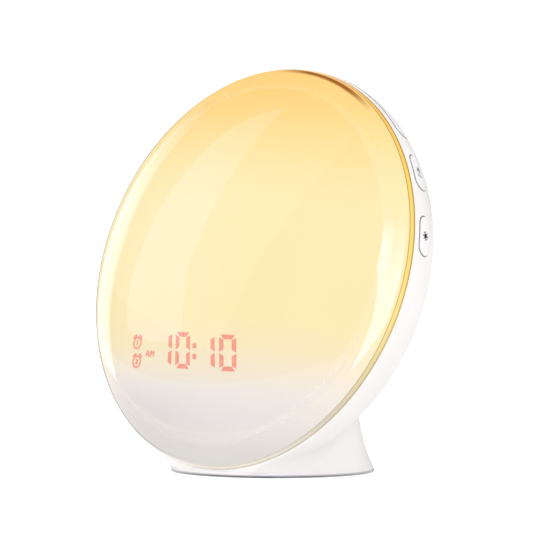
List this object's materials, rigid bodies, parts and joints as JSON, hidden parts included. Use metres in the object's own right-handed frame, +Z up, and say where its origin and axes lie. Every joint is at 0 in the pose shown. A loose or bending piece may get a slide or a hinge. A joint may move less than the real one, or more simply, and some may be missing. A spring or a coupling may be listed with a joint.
{
  "type": "sunrise alarm clock",
  "caption": "Round domed wake-up lamp with a clock display, leaning back on a bowl-shaped shell that runs into an oval foot; pill-shaped keys in its rim.",
  "frame": {"origin": "on the table, under the middle of the foot", "axes": "+Z up, the lamp's face looks along -Y and leans back, +X is the right-hand side seen from the front"},
  "size_m": [0.175, 0.084, 0.1692],
  "materials": {
    "white_shell": "smooth satin white, fine moulded texture",
    "white_key": "smooth satin white",
    "clear_cover": "polished clear",
    "milky_diffuser": "milky, lit from behind",
    "lit_segment": "tinted, lit from behind",
    "clear_adhesive": "soft, clear amber",
    "white_inner": "matt white moulding",
    "black_inner": "matt black moulding",
    "board_white": "white solder mask, satin",
    "board_green": "green solder mask, satin",
    "led": "yellow phosphor in a white package",
    "chip": "matt black epoxy",
    "capacitor": "bright sleeve",
    "steel": "zinc-plated steel",
    "contact": "nickel-plated strip",
    "cell": "brushed steel can",
    "ferrite": "sintered ferrite",
    "paper": "pressed black paper",
    "foam": "closed-cell foam",
    "foot_rubber": "soft grey rubber",
    "wire": "red sleeve"
  },
  "bodies": {
    "lamp": {"base_cover": "white_shell", "base_screws": "steel", "battery_contact": "contact", "battery_door": "white_shell", "battery_door_screw": "steel", "battery_leads": "wire", "board_link": "black_inner", "capacitors": "capacitor", "coin_cell": "cell", "dc_jack_body": "black_inner", "dc_jack_pin": "contact", "diffuser": "milky_diffuser", "display_board": "board_white", "display_header": "black_inner", "display_housing": "white_inner", "display_segments": "lit_segment", "display_standoffs": "white_inner", "feet": "foot_rubber", "front_lens": "clear_cover", "lead_sockets": "white_inner", "led_board": "board_white", "led_chips": "led", "lens_adhesive": "clear_adhesive", "main_board": "board_green", "main_board_chips": "chip", "main_board_screws": "steel", "mounting_tray": "white_inner", "power_board": "board_green", "power_board_screws": "steel", "power_lead": "wire", "rear_shell": "white_shell", "reflector": "white_inner", "speaker_cone": "paper", "speaker_frame": "steel", "speaker_gasket": "foam", "speaker_lead": "wire", "speaker_magnet": "ferrite", "speaker_retainer": "white_inner", "speaker_screws": "steel", "speaker_terminals": "white_inner", "switch_bodies": "black_inner", "tray_screws": "steel"},
    "light_key": {"key_light": "white_key", "plunger_light": "black_inner"},
    "sound_key": {"key_sound": "white_key", "plunger_sound": "black_inner"},
    "up_key": {"key_up": "white_key", "plunger_up": "black_inner"},
    "down_key": {"key_down": "white_key", "plunger_down": "black_inner"},
    "snooze_key": {"snooze_bar": "white_key", "plunger_snooze": "black_inner"}
  },
  "joints": [
    {"name": "light_press", "type": "slide", "parent": "lamp", "child": "light_key", "axis": [-0.9781, -0.0617, -0.1986], "range_m": [0, 0.0005], "stiffness_N_per_m": 800, "springref_m": -0.0005},
    {"name": "sound_press", "type": "slide", "parent": "lamp", "child": "sound_key", "axis": [-0.8545, -0.1541, -0.4962], "range_m": [0, 0.0005], "stiffness_N_per_m": 800, "springref_m": -0.0005},
    {"name": "up_press", "type": "slide", "parent": "lamp", "child": "up_key", "axis": [0.8545, -0.1541, -0.4962], "range_m": [0, 0.0005], "stiffness_N_per_m": 800, "springref_m": -0.0005},
    {"name": "down_press", "type": "slide", "parent": "lamp", "child": "down_key", "axis": [0.9781, -0.0617, -0.1986], "range_m": [0, 0.0005], "stiffness_N_per_m": 800, "springref_m": -0.0005},
    {"name": "snooze_press", "type": "slide", "parent": "lamp", "child": "snooze_key", "axis": [0, -0.2965, -0.955], "range_m": [0, 0.0005], "stiffness_N_per_m": 1600, "springref_m": -0.0005}
  ]
}
